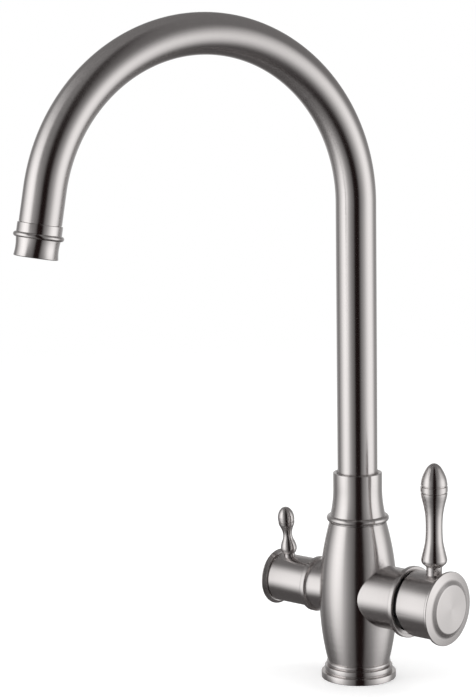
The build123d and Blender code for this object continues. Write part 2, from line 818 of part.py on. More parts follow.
def main_lever_hub():
    hub = hub_shell(
        mixer_hub_start, mixer_hub_end, mixer_hub_radius, mixer_hub_wall,
        mixer_hub_end_wall, mixer_boss_start, mixer_boss_radius,
    )
    inside = mixer_hub_radius - mixer_hub_wall / 2
    hub += upright_rod(mixer_post_radius, valve_height, valve_height + inside, mixer_lever_position)
    stem_hole = Box(
        stem_end + seated_clearance - mixer_boss_start + cut_overrun, stem_width + 2 * seated_clearance,
        stem_width + 2 * seated_clearance, align=(Align.MIN, Align.CENTER, Align.CENTER),
    )
    seat_radius = mixer_lever_neck_radius + seated_clearance
    seat_top = lever_seat_height + mixer_hub_radius
    stud_hole_radius = mixer_stud_radius + seated_clearance
    stud_bottom = lever_seat_height - mixer_stud_in_hub
    cuts = [
        relief_wedge(),
        Pos(mixer_boss_start - cut_overrun, 0, valve_height) * stem_hole,
        upright_rod(seat_radius, lever_seat_height, seat_top, mixer_lever_position),
        upright_rod(stud_hole_radius, stud_bottom, seat_top, mixer_lever_position),
        level_rod(mixer_cap_spigot_radius + seated_clearance, mixer_hub_end - cap_spigot_length,
                  mixer_hub_end + cut_overrun),
        cross_rod(mixer_screw_radius + seated_clearance, mixer_screw_position, 0, 2 * mixer_hub_radius),
    ]
    return hub - cuts


def end_cap(hub_end, start, rim, radius, spigot_radius, shoulder_radius, cone):
    # A dished cap with a raised disc in front and a conical back
    back = hub_end - cap_spigot_length
    face = start + rim
    corner = (face + cap_dish_share * radius, cap_cove_corner_share * radius, cap_cove_round_share * radius)
    disc_face = face + cap_raise_share * radius
    return turned_along(outline(
        (back, 0), (back, spigot_radius), (hub_end, spigot_radius), (hub_end, shoulder_radius),
        (start, shoulder_radius), (start, radius - cone, edge_round), (start + cone, radius, edge_round),
        (face, radius, edge_round), corner, (disc_face, cap_disc_share * radius, edge_round), (disc_face, 0),
    ))


def main_end_cap():
    return end_cap(
        mixer_hub_end, mixer_cap_start, mixer_cap_rim, mixer_cap_radius,
        mixer_cap_spigot_radius, mixer_hub_radius - cap_groove_depth, mixer_cap_cone_depth,
    )


def handle_points(shares, tip, length, radius):
    return [(radius * width, tip - length * down) for down, width in shares]


def stud_hole(radius, seat, depth):
    return upright_rod(radius + seated_clearance, seat - cut_overrun, seat + depth)


def handle(tip, seat, radius, neck_radius, nose_shares, step_shares, waist_shares, neck_share):
    # Two swelling stretches, parted by the steps of grooves and bands, over a plain neck
    length = tip - seat
    nose = handle_points(nose_shares, tip, length, radius)
    steps = handle_points(step_shares, tip, length, radius)
    waist = handle_points(waist_shares, tip, length, radius)
    neck_top = (neck_radius, tip - length * neck_share)
    waist.append(neck_top)
    edges = [Spline((0, tip), *nose, tangents=((1, 0), (0, -1)), tangent_scalars=(1 / 2, 1))]
    corners = [nose[-1], *steps, waist[0]]
    edges += [Line(a, b) for a, b in zip(corners, corners[1:])]
    edges.append(Spline(*waist))
    neck_bottom = (neck_radius, seat)
    edges += [Line(neck_top, neck_bottom), Line(neck_bottom, (0, seat)), Line((0, seat), (0, tip))]
    return turned_upright(make_face(edges))


def main_lever_handle():
    steps = mixer_groove_shares + mixer_band_shares + mixer_lower_groove_shares
    solid = handle(
        valve_height + mixer_lever_reach, lever_seat_height, mixer_lever_radius, mixer_lever_neck_radius,
        mixer_nose_shares, steps, mixer_waist_shares, mixer_neck_share,
    )
    solid -= stud_hole(mixer_stud_radius, lever_seat_height, mixer_stud_in_handle)
    return Pos(mixer_lever_position, 0, 0) * solid


def main_lever_stud():
    bottom = lever_seat_height - mixer_stud_in_hub
    top = lever_seat_height + mixer_stud_in_handle
    return upright_rod(mixer_stud_radius, bottom, top, mixer_lever_position)


def grub_screw(x, radius, start, end):
    screw = cross_rod(radius, x, start, end)
    socket = extrude(RegularPolygon(radius * screw_socket_share, 6), end - start)
    return screw - Pos(x, (start + end) / 2, valve_height) * Rot(-90, 0, 0) * socket


def main_set_screw():
    return grub_screw(mixer_screw_position, mixer_screw_radius, stem_width / 2, mixer_boss_radius)


# Filter valve and lever

def filter_headwork_seal():
    ring = level_rod(headwork_radius - seated_clearance, headwork_back, headwork_start)
    ring -= level_rod(headwork_seal_inner_radius, headwork_back - cut_overrun, headwork_start + cut_overrun)
    return on_filter_side(ring)


def filter_headwork():
    solid = level_rod(headwork_radius, headwork_start, headwork_hex_start + cut_overrun)
    hexagon = RegularPolygon(headwork_hex_width / 2, 6, major_radius=False)
    nut = extrude(hexagon, headwork_hex_end - headwork_hex_start)
    solid += Pos(headwork_hex_start, 0, valve_height) * Rot(0, 90, 0) * nut
    solid += level_rod(headwork_neck_radius, headwork_hex_start, headwork_neck_end)
    cavity_end = spindle_start + spindle_flange_thickness + running_clearance
    window = Cylinder(headwork_window_radius, 3 * headwork_radius)
    cuts = [
        level_rod(headwork_cavity_radius, headwork_start - cut_overrun, cavity_end),
        level_rod(spindle_radius + running_clearance, headwork_start, headwork_neck_end + cut_overrun),
        Pos(headwork_window_position, 0, valve_height) * window,
    ]
    return on_filter_side(solid - cuts)


def filter_disc(start, end):
    solid = level_rod(filter_disc_radius, start, end)
    for side in (-1, 1):
        offset = side * filter_port_offset
        solid -= level_rod(filter_port_radius, start - cut_overrun, end + cut_overrun, offset)
    return on_filter_side(solid)


def filter_fixed_disc():
    return filter_disc(headwork_start, headwork_start + filter_disc_thickness)


def filter_moving_disc():
    return Pos(0, 0, valve_height) * Rot(90, 0, 0) * Pos(0, 0, -valve_height) * filter_disc(
        filter_moving_disc_start, spindle_start
    )


def spline_star(growth):
    # Squares turned in even steps, whose corners are the spline's teeth
    side = 2 ** 0.5 * (spindle_radius - running_clearance) + 2 * growth
    star = Rectangle(side, side)
    for i in range(1, spindle_spline_squares):
        star += Rot(0, 0, i * 90 / spindle_spline_squares) * Rectangle(side, side)
    return star


def filter_spindle():
    solid = level_rod(spindle_flange_radius, spindle_start, spindle_start + spindle_flange_thickness)
    solid += level_rod(spindle_radius, spindle_start, spindle_spline_start)
    end = extrude(spline_star(0), spindle_end - spindle_spline_start)
    solid += Pos(spindle_spline_start, 0, valve_height) * Rot(0, 90, 0) * end
    groove = Pos(spindle_ring_position, 0, valve_height) * Rot(0, 90, 0) * (
        Cylinder(2 * spindle_radius, 2 * spindle_ring_wire_radius)
        - Cylinder(spindle_radius - 2 * spindle_ring_wire_radius, 4 * spindle_ring_wire_radius)
    )
    return leaning(on_filter_side(solid - groove))


def filter_spindle_o_ring():
    ring = Torus(spindle_radius - spindle_ring_wire_radius, spindle_ring_wire_radius)
    return on_filter_side(Pos(spindle_ring_position, 0, valve_height) * Rot(0, 90, 0) * ring)


def filter_lever_hub():
    hub = hub_shell(
        filter_hub_start, filter_hub_end, filter_hub_radius, filter_hub_wall,
        filter_hub_end_wall, filter_boss_start, filter_boss_radius,
    )
    inside = filter_hub_radius - filter_hub_wall / 2
    hub += upright_rod(filter_post_radius, valve_height, valve_height + inside, filter_lever_position)
    seat_radius = filter_lever_neck_radius + seated_clearance
    stud_bottom = filter_lever_seat_height - filter_stud_in_hub
    socket_length = spindle_end + seated_clearance - filter_boss_start + cut_overrun
    socket = extrude(spline_star(seated_clearance), socket_length)
    seat_top = filter_lever_seat_height + filter_hub_radius
    stud_hole_radius = filter_stud_radius + seated_clearance
    cuts = [
        Pos(filter_boss_start - cut_overrun, 0, valve_height) * Rot(0, 90, 0) * socket,
        upright_rod(seat_radius, filter_lever_seat_height, seat_top, filter_lever_position),
        upright_rod(stud_hole_radius, stud_bottom, seat_top, filter_lever_position),
        level_rod(filter_cap_spigot_radius + seated_clearance, filter_hub_end - cap_spigot_length,
                  filter_hub_end + cut_overrun),
        cross_rod(filter_screw_radius + seated_clearance, filter_screw_position, -2 * filter_hub_radius, 0),
    ]
    return leaning(on_filter_side(hub - cuts))


def filter_end_cap():
    return leaning(on_filter_side(end_cap(
        filter_hub_end, filter_cap_start, filter_cap_rim, filter_cap_radius,
        filter_cap_spigot_radius, filter_hub_radius - cap_groove_depth, filter_cap_cone_depth,
    )))


def filter_lever_handle():
    solid = handle(
        valve_height + filter_lever_reach, filter_lever_seat_height, filter_lever_radius,
        filter_lever_neck_radius, filter_nose_shares, filter_groove_shares, filter_waist_shares,
        filter_neck_share,
    )
    solid -= stud_hole(filter_stud_radius, filter_lever_seat_height, filter_stud_in_handle)
    return leaning(Pos(-filter_lever_position, 0, 0) * solid)


def filter_lever_stud():
    bottom = filter_lever_seat_height - filter_stud_in_hub
    top = filter_lever_seat_height + filter_stud_in_handle
    return leaning(upright_rod(filter_stud_radius, bottom, top, -filter_lever_position))


def filter_set_screw():
    screw = grub_screw(filter_screw_position, filter_screw_radius, spindle_radius, filter_boss_radius)
    return leaning(Pos(-2 * filter_screw_position, 0, 0) * screw)


pieces = [
    body_casting, base_ring, base_gasket, spout_collar, spout_glide_ring, spout_glide_washer,
    filter_tube_o_ring, cartridge_seals, cartridge_base, fixed_ceramic_disc, cartridge_housing,
    cartridge_nut, filter_headwork_seal, filter_headwork, filter_fixed_disc,
    spout_tube, spout_foot, spout_o_rings, outlet_nozzle, aerator_seal, aerator_housing, aerator_screen,
    filter_water_nozzle, filter_water_tube,
    cartridge_rotor, stem_pin, disc_carrier, moving_ceramic_disc,
    cartridge_stem, main_lever_hub, main_end_cap, main_lever_handle, main_lever_stud, main_set_screw,
    filter_spindle, filter_spindle_o_ring, filter_moving_disc, filter_lever_hub, filter_end_cap,
    filter_lever_handle, filter_lever_stud, filter_set_screw,
]

for piece in pieces:
    export_step(piece(), f"parts/{piece.__name__}.step")
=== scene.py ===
import math

import bmesh
import bpy
from mathutils import Matrix, Vector


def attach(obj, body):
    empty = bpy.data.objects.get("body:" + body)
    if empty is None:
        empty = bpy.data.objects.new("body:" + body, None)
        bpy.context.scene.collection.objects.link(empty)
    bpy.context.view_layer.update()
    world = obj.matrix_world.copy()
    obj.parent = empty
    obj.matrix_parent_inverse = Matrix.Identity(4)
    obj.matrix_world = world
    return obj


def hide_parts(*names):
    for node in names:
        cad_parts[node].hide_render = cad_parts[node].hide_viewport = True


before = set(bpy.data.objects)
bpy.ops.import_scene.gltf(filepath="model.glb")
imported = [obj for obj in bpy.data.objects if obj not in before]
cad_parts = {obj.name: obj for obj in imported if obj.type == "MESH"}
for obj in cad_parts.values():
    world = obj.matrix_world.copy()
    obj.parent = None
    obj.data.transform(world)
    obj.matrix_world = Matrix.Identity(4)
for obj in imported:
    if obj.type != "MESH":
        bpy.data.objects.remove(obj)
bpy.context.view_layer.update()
print("frame loaded:", len(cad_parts), "nodes")

mm = 0.001
valveHeight = 55.0  # height of the valve axis over the deck, mm
spoutTurn = 250.4  # direction of the spout, degrees from +X
smoothAngle = math.radians(28)  # creases sharper than this stay crisp
sides = {"large": 192, "plain": 144, "small": 96, "hole": 48}  # of a turned piece, by its size
collection = bpy.context.scene.collection


# Finishes

def newMaterial(name):
    material = bpy.data.materials.new(name)
    material.use_nodes = True
    nodes = material.node_tree.nodes
    nodes.clear()
    output = nodes.new("ShaderNodeOutputMaterial")
    return material, output


def addNode(material, kind, **settings):
    node = material.node_tree.nodes.new(kind)
    for key, value in settings.items():
        if key.startswith("in_"):
            node.inputs[key[3:].replace("_", " ")].default_value = value
        else:
            setattr(node, key, value)
    return node


def link(material, source, target):
    material.node_tree.links.new(source, target)


def vectorMath(material, operation, first, second=None):
    node = addNode(material, "ShaderNodeVectorMath", operation=operation)
    for socket, value in zip(node.inputs, (first, second)):
        if value is None:
            continue
        if hasattr(value, "links"):
            link(material, value, socket)
        else:
            socket.default_value = value
    return node.outputs["Value"] if operation in ("LENGTH", "DOT_PRODUCT") else node.outputs["Vector"]


def number(material, operation, first, second):
    node = addNode(material, "ShaderNodeMath", operation=operation)
    for socket, value in zip(node.inputs, (first, second)):
        if hasattr(value, "links"):
            link(material, value, socket)
        else:
            socket.default_value = value
    return node.outputs["Value"]


brush = {
    "colour": (0.680, 0.650, 0.640, 1.0),
    "shade": (0.645, 0.616, 0.607, 1.0),  # between the strokes
    "roughness": 0.235,
    "fineRoughness": 0.17,  # on the foot ring and the nozzle, which are polished finer
    "roughnessSwing": 0.02,
    "anisotropy": 0.95,
    "strokes": 2600.0,  # fine strokes per metre across the grain
    "bands": 420.0,  # broader bands of strokes
    "fineNoise": {"in_Scale": 1.0, "in_Detail": 2.0, "in_Roughness": 0.6},
    "wideNoise": {"in_Scale": 1.0, "in_Detail": 3.0, "in_Roughness": 0.55},
    "strokeShare": 0.6,  # of the pattern: the bands make up the rest
    "shadeRange": (0.32, 0.62),  # of the pattern, from shade to full colour
    "roughRange": (0.3, 0.7),  # of the pattern, from smoother to rougher
    "drift": 9.0,  # slow change along a stroke
    "groove": 0.02,  # bump strength
    "grooveDepth": 0.00002,
}


def brushedFinish(material, output, across, along, spread, roughness=brush["roughness"]):
    # across: metres across the strokes; along: a slow place along them; spread: the way highlights smear
    fineLines = addNode(material, "ShaderNodeCombineXYZ")
    wideLines = addNode(material, "ShaderNodeCombineXYZ")
    slow = vectorMath(material, "SCALE", along)
    slow.node.inputs["Scale"].default_value = brush["drift"]
    for lines, count in ((fineLines, brush["strokes"]), (wideLines, brush["bands"])):
        link(material, number(material, "MULTIPLY", across, count), lines.inputs["X"])
    finePlace = vectorMath(material, "ADD", fineLines.outputs["Vector"], slow)
    widePlace = vectorMath(material, "ADD", wideLines.outputs["Vector"], slow)
    fine = addNode(material, "ShaderNodeTexNoise", **brush["fineNoise"])
    wide = addNode(material, "ShaderNodeTexNoise", **brush["wideNoise"])
    link(material, finePlace, fine.inputs["Vector"])
    link(material, widePlace, wide.inputs["Vector"])
    finePart = number(material, "MULTIPLY", fine.outputs["Fac"], brush["strokeShare"])
    widePart = number(material, "MULTIPLY", wide.outputs["Fac"], 1 - brush["strokeShare"])
    strokes = number(material, "ADD", finePart, widePart)
    shader = addNode(material, "ShaderNodeBsdfPrincipled")
    shader.inputs["Metallic"].default_value = 1.0
    shader.inputs["Anisotropic"].default_value = brush["anisotropy"]
    colour = addNode(material, "ShaderNodeMix", data_type="RGBA")
    colour.inputs["A"].default_value = brush["shade"]
    colour.inputs["B"].default_value = brush["colour"]
    contrast = addNode(material, "ShaderNodeMapRange")
    contrast.inputs["From Min"].default_value, contrast.inputs["From Max"].default_value = brush["shadeRange"]
    link(material, strokes, contrast.inputs["Value"])
    link(material, contrast.outputs["Result"], colour.inputs["Factor"])
    link(material, colour.outputs["Result"], shader.inputs["Base Color"])
    rough = addNode(material, "ShaderNodeMapRange")
    rough.inputs["From Min"].default_value, rough.inputs["From Max"].default_value = brush["roughRange"]
    rough.inputs["To Min"].default_value = roughness - brush["roughnessSwing"]
    rough.inputs["To Max"].default_value = roughness + brush["roughnessSwing"]
    link(material, strokes, rough.inputs["Value"])
    link(material, rough.outputs["Result"], shader.inputs["Roughness"])
    bump = addNode(material, "ShaderNodeBump", in_Strength=brush["groove"], in_Distance=brush["grooveDepth"])
    link(material, strokes, bump.inputs["Height"])
    link(material, bump.outputs["Normal"], shader.inputs["Normal"])
    link(material, spread, shader.inputs["Tangent"])
    link(material, shader.outputs["BSDF"], output.inputs["Surface"])


def turnedNickel(name, centre, axis, roughness=brush["roughness"]):
    # Brushed on a lathe: the strokes run round the axis, also over end faces
    material, output = newMaterial(name)
    place = addNode(material, "ShaderNodeTexCoord").outputs["Object"]
    offset = vectorMath(material, "SUBTRACT", place, tuple(c * mm for c in centre))
    height = vectorMath(material, "DOT_PRODUCT", offset, axis)
    sideways = vectorMath(material, "CROSS_PRODUCT", axis, offset)
    radius = vectorMath(material, "LENGTH", sideways)
    across = number(material, "ADD", height, radius)
    toWorld = addNode(material, "ShaderNodeVectorTransform", vector_type="VECTOR", convert_from="OBJECT",
                      convert_to="WORLD")
    link(material, sideways, toWorld.inputs["Vector"])
    normal = addNode(material, "ShaderNodeNewGeometry").outputs["Normal"]
    spread = vectorMath(material, "CROSS_PRODUCT", toWorld.outputs["Vector"], normal)
    brushedFinish(material, output, across, offset, vectorMath(material, "NORMALIZE", spread), roughness)
    return material


def tubeNickel(name):
    # The tube's strokes run round it, wherever it bends, from attributes that its tree leaves on the mesh
    material, output = newMaterial(name)
    along = addNode(material, "ShaderNodeAttribute", attribute_name="along").outputs["Fac"]
    way = addNode(material, "ShaderNodeAttribute", attribute_name="way").outputs["Vector"]
    place = addNode(material, "ShaderNodeTexCoord").outputs["Object"]
    toWorld = addNode(material, "ShaderNodeVectorTransform", vector_type="VECTOR", convert_from="OBJECT",
                      convert_to="WORLD")
    link(material, way, toWorld.inputs["Vector"])
    brushedFinish(material, output, along, place, toWorld.outputs["Vector"])
    return material


speckle = {"scale": 900.0, "detail": 4.0, "roughnessSpread": 0.15, "bump": 0.15, "bumpDepth": 0.00005}


def speckledFinish(name, d):
    # Moulded, machined or fired surfaces: a fine mottle in colour, gloss and height
    material, output = newMaterial(name)
    place = addNode(material, "ShaderNodeTexCoord").outputs["Object"]
    grain = addNode(material, "ShaderNodeTexNoise", in_Scale=speckle["scale"], in_Detail=speckle["detail"])
    link(material, place, grain.inputs["Vector"])
    shader = addNode(material, "ShaderNodeBsdfPrincipled")
    shader.inputs["Metallic"].default_value = d["metallic"]
    mixer = addNode(material, "ShaderNodeMix", data_type="RGBA")
    mixer.inputs["A"].default_value = (*d["colour"], 1.0)
    mixer.inputs["B"].default_value = (*d["mottle"], 1.0)
    link(material, grain.outputs["Fac"], mixer.inputs["Factor"])
    link(material, mixer.outputs["Result"], shader.inputs["Base Color"])
    rough = addNode(material, "ShaderNodeMapRange")
    rough.inputs["To Min"].default_value = d["roughness"] * (1 - speckle["roughnessSpread"])
    rough.inputs["To Max"].default_value = d["roughness"] * (1 + speckle["roughnessSpread"])
    link(material, grain.outputs["Fac"], rough.inputs["Value"])
    link(material, rough.outputs["Result"], shader.inputs["Roughness"])
    bump = addNode(material, "ShaderNodeBump", in_Strength=speckle["bump"], in_Distance=speckle["bumpDepth"])
    link(material, grain.outputs["Fac"], bump.inputs["Height"])
    link(material, bump.outputs["Normal"], shader.inputs["Normal"])
    link(material, shader.outputs["BSDF"], output.inputs["Surface"])
    return material


innerFinishes = {  # with the nodes that keep their own shape
    "machinedBrass": {
        "colour": (0.72, 0.56, 0.28), "mottle": (0.62, 0.47, 0.22), "roughness": 0.28, "metallic": 1.0,
        "nodes": ("spout_foot", "filter_headwork", "filter_spindle", "filter_water_nozzle"),
    },
    "blackRubber": {
        "colour": (0.018, 0.018, 0.018), "mottle": (0.035, 0.034, 0.033), "roughness": 0.62, "metallic": 0.0,
        "nodes": ("base_gasket", "filter_tube_o_ring", "cartridge_seals", "filter_headwork_seal",
                  "spout_o_rings", "aerator_seal", "filter_spindle_o_ring"),
    },
    "mouldedPlastic": {
        "colour": (0.80, 0.80, 0.78), "mottle": (0.70, 0.70, 0.68), "roughness": 0.42, "metallic": 0.0,
        "nodes": ("spout_glide_ring", "spout_glide_washer", "cartridge_base", "aerator_housing",
                  "aerator_screen", "filter_water_tube", "cartridge_rotor", "disc_carrier"),
    },
    "darkPlastic": {
        "colour": (0.10, 0.10, 0.105), "mottle": (0.07, 0.07, 0.072), "roughness": 0.45, "metallic": 0.0,
        "nodes": ("cartridge_housing",),
    },
    "lappedCeramic": {
        "colour": (0.90, 0.88, 0.83), "mottle": (0.84, 0.82, 0.78), "roughness": 0.18, "metallic": 0.0,
        "nodes": ("fixed_ceramic_disc", "filter_fixed_disc", "moving_ceramic_disc", "filter_moving_disc"),
    },
    "machinedSteel": {
        "colour": (0.62, 0.61, 0.60), "mottle": (0.52, 0.51, 0.50), "roughness": 0.30, "metallic": 1.0,
        "nodes": ("stem_pin", "cartridge_stem", "main_lever_stud", "main_set_screw", "filter_lever_stud",
                  "filter_set_screw"),
    },
    # The cartridge nut is plain steel: this near-black colour and mottle are painted shade for the dark gap
    # between the hub and the ring
    "paintedShadeSteel": {
        "colour": (0.060, 0.058, 0.056), "mottle": (0.040, 0.039, 0.038), "roughness": 0.45, "metallic": 1.0,
        "nodes": ("cartridge_nut",),
    },
}


def finishInnerNodes():
    for name, d in innerFinishes.items():
        finish = speckledFinish(name, d)
        for nodeName in d["nodes"]:
            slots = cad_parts[nodeName].data.materials
            slots.clear()
            slots.append(finish)


finishInnerNodes()
print("finishes made")


# Outlines: lists of (radius, height) in mm, which a lathe turns about an axis

def arcFrom(start, heading, end, steps=24):
    # Arc that leaves start along heading and ends at end
    hx, hy = heading
    cx, cy = end[0] - start[0], end[1] - start[1]
    ahead, left = cx * hx + cy * hy, -cx * hy + cy * hx
    bend = 2 * left / (cx * cx + cy * cy)
    turn = 2 * math.atan2(left, ahead)
    points = []
    for i in range(1, steps + 1):
        angle = turn * i / steps
        forward, aside = math.sin(angle) / bend, (1 - math.cos(angle)) / bend
        points.append((start[0] + forward * hx - aside * hy, start[1] + forward * hy + aside * hx))
    return points


def arcThrough(start, middle, end, steps=24):
    # Arc through three points: its heading at the start follows from the angle at the middle
    toEnd = math.atan2(end[1] - start[1], end[0] - start[0])
    toMiddle = math.atan2(middle[1] - start[1], middle[0] - start[0])
    middleToEnd = math.atan2(end[1] - middle[1], end[0] - middle[0])
    heading = toEnd - (middleToEnd - toMiddle)
    return arcFrom(start, (math.cos(heading), math.sin(heading)), end, steps)


def softened(corners, steps=5):
    # Corners (radius, height), or (radius, height, r) where the corner is rounded
    points = []
    for i, corner in enumerate(corners):
        here = Vector(corner[:2])
        if len(corner) < 3:
            points.append(tuple(here))
            continue
        before = (here - Vector(corners[i - 1][:2])).normalized()
        after = (Vector(corners[(i + 1) % len(corners)][:2]) - here).normalized()
        reach = corner[2] * math.tan(before.angle(after) / 2)
        start, end = here - before * reach, here + after * reach
        points.append(tuple(start))
        points += arcFrom(tuple(start), tuple(before), tuple(end), steps)
    return points


def flowing(points, steps=10):
    # Smooth curve through points, with the slope at each from its neighbours
    count = len(points)
    spans = [math.dist(points[i], points[i + 1]) for i in range(count - 1)]
    slopes = []
    for i in range(count):
        low, high = max(i - 1, 0), min(i + 1, count - 1)
        reach = sum(spans[low:high])
        slopes.append(tuple((points[high][k] - points[low][k]) / reach for k in (0, 1)))
    curve = [points[0]]
    for i in range(count - 1):
        for step in range(1, steps + 1):
            t = step / steps
            weights = (2 * t**3 - 3 * t**2 + 1, t**3 - 2 * t**2 + t, -2 * t**3 + 3 * t**2, t**3 - t**2)
            curve.append(tuple(
                weights[0] * points[i][k] + weights[1] * slopes[i][k] * spans[i]
                + weights[2] * points[i + 1][k] + weights[3] * slopes[i + 1][k] * spans[i] for k in (0, 1)
            ))
    return curve


onAxis = 1e-6  # mm: a point nearer to the axis than this is one vertex, not a ring
upright = Matrix.Identity(4)
levelRight = Matrix.Translation((0, 0, valveHeight)) @ Matrix.Rotation(math.radians(90), 4, "Y")
levelLeft = Matrix.Rotation(math.radians(180), 4, "Z") @ levelRight


def lathe(name, outline, place=upright, finish=None, size="plain"):
    # Closed solid: an outline that starts and ends on the axis, or a ring's outline that closes on itself
    mesh = bmesh.new()
    count = sides[size]
    rings = []
    for radius, height in outline:
        if radius < onAxis:
            rings.append([mesh.verts.new(place @ Vector((0, 0, height)))])
            continue
        ring = []
        for i in range(count):
            angle = 2 * math.pi * i / count
            corner = Vector((radius * math.cos(angle), radius * math.sin(angle), height))
            ring.append(mesh.verts.new(place @ corner))
        rings.append(ring)
    isRing = all(len(ring) > 1 for ring in rings)
    pairs = list(zip(rings, rings[1:])) + ([(rings[-1], rings[0])] if isRing else [])
    for low, high in pairs:
        for i in range(count):
            j = (i + 1) % count
            if len(low) == 1 and len(high) == 1:
                break
            if len(low) == 1:
                mesh.faces.new((low[0], high[j], high[i]))
            elif len(high) == 1:
                mesh.faces.new((low[i], low[j], high[0]))
            else:
                mesh.faces.new((low[i], low[j], high[j], high[i]))
    bmesh.ops.recalc_face_normals(mesh, faces=mesh.faces)
    bmesh.ops.scale(mesh, vec=(mm, mm, mm), verts=mesh.verts)
    return meshPiece(name, mesh, finish)


def meshPiece(name, mesh, finish):
    data = bpy.data.meshes.new(name)
    mesh.to_mesh(data)
    mesh.free()
    piece = bpy.data.objects.new(name, data)
    collection.objects.link(piece)
    if finish:
        data.materials.append(finish)
    smooth(piece)
    return piece


def smooth(piece):
    piece.data.shade_smooth()
    piece.data.set_sharp_from_angle(angle=smoothAngle)


def rod(name, radius, low, high, place, x=0.0, y=0.0, size="hole"):
    return lathe(name, [(0, low), (radius, low), (radius, high), (0, high)],
                 place @ Matrix.Translation((x, y, 0)), size=size)


def bake(piece):
    # Keep the modifiers' result as a plain mesh
    evaluated = piece.evaluated_get(bpy.context.evaluated_depsgraph_get())
    data = bpy.data.meshes.new_from_object(evaluated)
    piece.modifiers.clear()
    old = piece.data
    piece.data = data
    bpy.data.meshes.remove(old)
    data.name = piece.name
    smooth(piece)


def combine(piece, tools, operation):
    for tool in tools:
        step = piece.modifiers.new("step", "BOOLEAN")
        step.operation = operation
        step.solver = "EXACT"
        step.material_mode = "TRANSFER"
        step.object = tool
        bake(piece)
        bpy.data.objects.remove(tool)


def dress(piece, body, *nodes):
    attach(piece, body)
    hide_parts(*nodes)


uprightNickel = turnedNickel("nickelUpright", (0, 0, 0), (0, 0, 1))
levelNickel = turnedNickel("nickelLevel", (0, 0, valveHeight), (1, 0, 0))
fineNickel = turnedNickel("nickelFine", (0, 0, 0), (0, 0, 1), brush["fineRoughness"])


# Foot ring

footRing = {
    "radius": 23.6, "step": 4.1, "upperRadius": 21.4, "upperTop": 8.0, "bore": 17.75,
    "lineRadius": 20.8, "line": 0.7, "lipRadius": 20.2, "lipLineRadius": 19.1, "lipHeight": 1.9, "soft": 0.4,
    "seat": 7.5,  # height at which the barrel stands on it
}


def makeFootRing(d):
    # Two tiers and a lip round the barrel, with a line turned in under the upper tier and under the lip
    lineTop, lipLow = d["step"] + d["line"], d["upperTop"] + d["line"]
    lipHigh = lipLow + d["lipHeight"]
    outline = softened([
        (d["bore"], 0), (d["radius"], 0, d["soft"]), (d["radius"], d["step"], d["soft"]),
        (d["lineRadius"], d["step"]), (d["lineRadius"], lineTop),
        (d["upperRadius"], lineTop, d["soft"]), (d["upperRadius"], d["upperTop"], d["soft"]),
        (d["lipLineRadius"], d["upperTop"]), (d["lipLineRadius"], lipLow),
        (d["lipRadius"], lipLow, d["soft"]), (d["lipRadius"], lipHigh, d["soft"]), (d["bore"], lipHigh),
    ])
    dress(lathe("footRing", outline, upright, fineNickel), "tap_body", "base_ring")


# Body: barrel with two arms

barrel = {
    "footRadius": 18.6, "radius": 24.5, "widest": 51.5, "neckRadius": 17.9, "top": 100.2, "spigot": 17.7,
    "recess": 0.5, "neckSpigot": 15.4, "neckTop": 105.5, "spoutBore": 13.65, "spoutFloor": 75.5,
    "curveSteps": 32,
}
mixerArm = {
    "root": 2.0, "radius": 19.5, "ring": 22.3, "ringStart": 40.25, "ringEnd": 43.35,
    "fillet": 0.9, "soft": 0.4, "recess": 20.2, "recessDepth": 1.4,
    "bay": 18.25, "bayStart": 30.0, "bore": 17.5, "back": 9.0,
}
filterArm = {
    "root": 2.0, "radius": 15.6, "ring": 17.55, "ringStart": 30.6, "ringEnd": 33.9,
    "fillet": 0.9, "soft": 0.4, "bay": 12.6, "bayStart": 25.0, "bore": 9.05, "back": 13.0,
}
inlets = {
    "radius": 4.5, "depth": 12.0, "places": ((4.5, -10.5), (4.5, 10.5), (-9.5, 0.0)),
    "studRadius": 3.4, "studDepth": 15.0, "studPlace": (12.5, 0.0),
}
overrun = 1.0  # mm by which a cut passes the face that it opens


